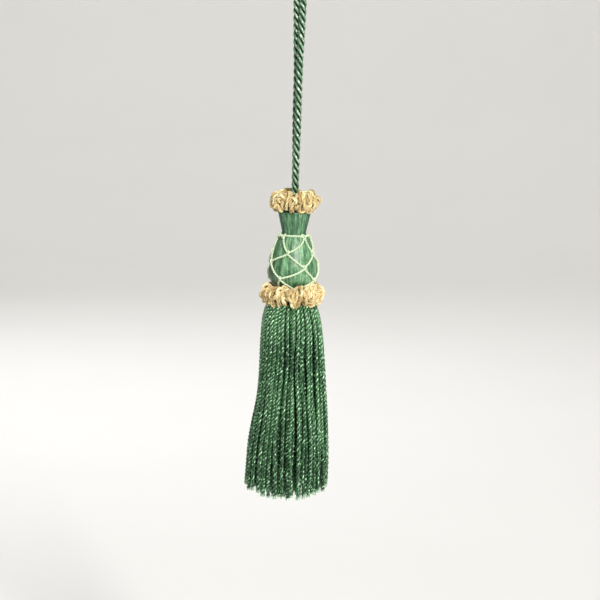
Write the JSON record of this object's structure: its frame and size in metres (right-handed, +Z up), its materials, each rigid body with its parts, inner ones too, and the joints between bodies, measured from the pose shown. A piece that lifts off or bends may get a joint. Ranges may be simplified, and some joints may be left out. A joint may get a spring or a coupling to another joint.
{
  "type": "key tassel",
  "caption": "Small furnishing tassel on a looped twisted cord: floss-covered head in a thread net, looped yarn ruffs and a skirt of twisted fringe.",
  "frame": {"origin": "the hang point, on the inside top of the cord's eye", "axes": "+Z up along the tassel's length, -Y to the front"},
  "size_m": [0.027, 0.0268, 0.1753],
  "materials": {
    "cord_green": "twisted three-ply rayon cord, soft sheen",
    "floss_green": "satin floss wound lengthways",
    "net_thread": "pale twisted thread",
    "ruff_cream": "looped cream and gold yarn",
    "skirt_green": "twisted rayon fringe, bright on the ridges"
  },
  "bodies": {
    "root": {"hanging_cord": "cord_green", "neck_ruff": "ruff_cream", "head": "floss_green", "head_net": "net_thread", "skirt_ruff": "ruff_cream", "skirt": "skirt_green"}
  },
  "joints": []
}
